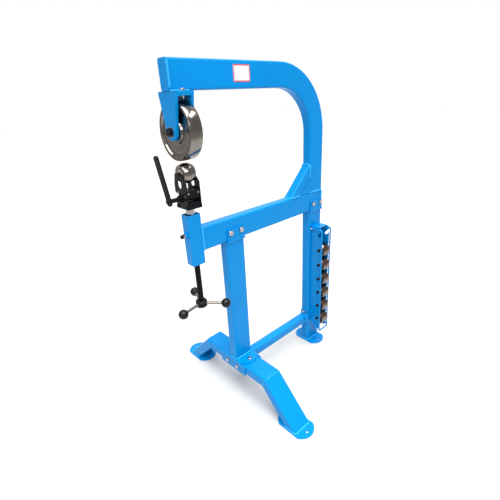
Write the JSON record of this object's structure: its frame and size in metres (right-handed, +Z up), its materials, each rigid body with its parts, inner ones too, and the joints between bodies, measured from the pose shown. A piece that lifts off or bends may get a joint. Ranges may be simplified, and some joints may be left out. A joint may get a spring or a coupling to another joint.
{
  "type": "english wheel",
  "caption": "Free-standing C-frame metal-shaping machine: flat upper wheel over a crowned anvil wheel on a screw-raised cradle, with an anvil rack.",
  "frame": {"origin": "on the floor, under the middle of the machine's overall length and width", "axes": "+X from the wheels back towards the upright of the C-frame, +Y across the frame away from the anvil rack, +Z up"},
  "size_m": [0.944, 0.9138, 1.531],
  "materials": {
    "frame_paint": "gloss azure blue powder coat",
    "black_steel": "black oxide, satin",
    "polished_steel": "ground and polished",
    "hard_chrome": "hard chrome, bright",
    "zinc_plate": "bright zinc",
    "bearing_steel": "sealed bearing",
    "bronze": "plain turned",
    "black_plastic": "gloss black"
  },
  "bodies": {
    "stand": {"c_frame": "frame_paint", "end_caps": "frame_paint", "lower_arm": "frame_paint", "corner_brace": "frame_paint", "brace_gussets": "frame_paint", "ram_socket": "frame_paint", "guide_bushes": "bronze", "lift_nut": "black_steel", "guide_boss": "frame_paint", "guide_lock_nut": "zinc_plate", "guide_bolt": "black_steel", "fork_pad": "frame_paint", "wheel_fork": "frame_paint", "fork_bolts": "zinc_plate", "wheel_axle": "black_steel", "wheel_spacers": "zinc_plate", "axle_nut": "zinc_plate", "wheel_bearings": "bearing_steel", "front_column": "frame_paint", "rear_column": "frame_paint", "arm_saddles": "frame_paint", "saddle_bolts": "zinc_plate", "column_flange": "frame_paint", "base_beam": "frame_paint", "front_feet": "frame_paint", "rear_foot": "frame_paint", "base_bolts": "zinc_plate", "tie_bar": "frame_paint", "tie_front_plate": "frame_paint", "tie_rear_tab": "frame_paint", "tie_bolt": "zinc_plate", "anvil_rack": "frame_paint", "rack_bolts": "zinc_plate", "bail_bolts": "zinc_plate", "spare_axles": "black_steel", "spare_bearings": "bearing_steel"},
    "top_wheel": {"upper_wheel": "polished_steel"},
    "ram_body": {"ram": "hard_chrome", "cradle_base": "black_steel", "base_screws": "black_steel"},
    "screw": {"lift_screw": "black_steel", "handle_hub": "black_steel", "handle_rods": "zinc_plate", "handle_balls": "black_plastic"},
    "yoke": {"yoke_plates": "black_steel", "yoke_block": "black_steel", "yoke_screws": "zinc_plate", "cam_bush": "black_steel", "anvil_axle": "black_steel", "anvil_bearings": "bearing_steel"},
    "lever": {"cam_shaft": "black_steel", "release_lever": "black_steel"},
    "anvil": {"anvil_wheel": "polished_steel"},
    "bail_rod": {"bail": "frame_paint"},
    "spare_1": {"spare_anvil_1": "polished_steel"},
    "spare_2": {"spare_anvil_2": "polished_steel"},
    "spare_3": {"spare_anvil_3": "polished_steel"},
    "spare_4": {"spare_anvil_4": "polished_steel"},
    "spare_5": {"spare_anvil_5": "polished_steel"},
    "spare_6": {"spare_anvil_6": "polished_steel"}
  },
  "joints": [
    {"name": "upper_wheel_spin", "type": "hinge", "parent": "stand", "child": "top_wheel", "pos_m": [-0.345, 0, 1.3], "axis": [1, 0, 0], "continuous": true},
    {"name": "ram_lift", "type": "slide", "parent": "stand", "child": "ram_body", "axis": [0, 0, 1], "range_m": [-0.018, 0.0075]},
    {"name": "screw_turn", "type": "hinge", "parent": "ram_body", "child": "screw", "pos_m": [-0.345, 0, 0.6], "axis": [0, 0, 1], "range_deg": [-1620, 675]},
    {"name": "yoke_drop", "type": "slide", "parent": "ram_body", "child": "yoke", "axis": [0, 0, 1], "range_m": [-0.006, 0]},
    {"name": "lever_turn", "type": "hinge", "parent": "yoke", "child": "lever", "pos_m": [-0.345, 0, 1.061], "axis": [1, 0, 0], "range_deg": [0, 100]},
    {"name": "anvil_spin", "type": "hinge", "parent": "yoke", "child": "anvil", "pos_m": [-0.345, 0, 1.1525], "axis": [1, 0, 0], "continuous": true},
    {"name": "bail_swing", "type": "hinge", "parent": "stand", "child": "bail_rod", "pos_m": [0.416, -0.036, 0.738], "axis": [-1, 0, 0], "range_deg": [0, 95]},
    {"name": "spare_spin_1", "type": "hinge", "parent": "stand", "child": "spare_1", "pos_m": [0.416, -0.076, 0.614], "axis": [1, 0, 0], "continuous": true},
    {"name": "spare_spin_2", "type": "hinge", "parent": "stand", "child": "spare_2", "pos_m": [0.416, -0.076, 0.527], "axis": [1, 0, 0], "continuous": true},
    {"name": "spare_spin_3", "type": "hinge", "parent": "stand", "child": "spare_3", "pos_m": [0.416, -0.076, 0.44], "axis": [1, 0, 0], "continuous": true},
    {"name": "spare_spin_4", "type": "hinge", "parent": "stand", "child": "spare_4", "pos_m": [0.416, -0.076, 0.353], "axis": [1, 0, 0], "continuous": true},
    {"name": "spare_spin_5", "type": "hinge", "parent": "stand", "child": "spare_5", "pos_m": [0.416, -0.076, 0.266], "axis": [1, 0, 0], "continuous": true},
    {"name": "spare_spin_6", "type": "hinge", "parent": "stand", "child": "spare_6", "pos_m": [0.416, -0.076, 0.179], "axis": [1, 0, 0], "continuous": true}
  ],
  "couplings": [
    {"joint": "ram_lift", "follows": "screw_turn", "m_per_rad": 0.00063662},
    {"joint": "yoke_drop", "follows": "lever_turn", "m_per_rad": -0.0034377}
  ]
}
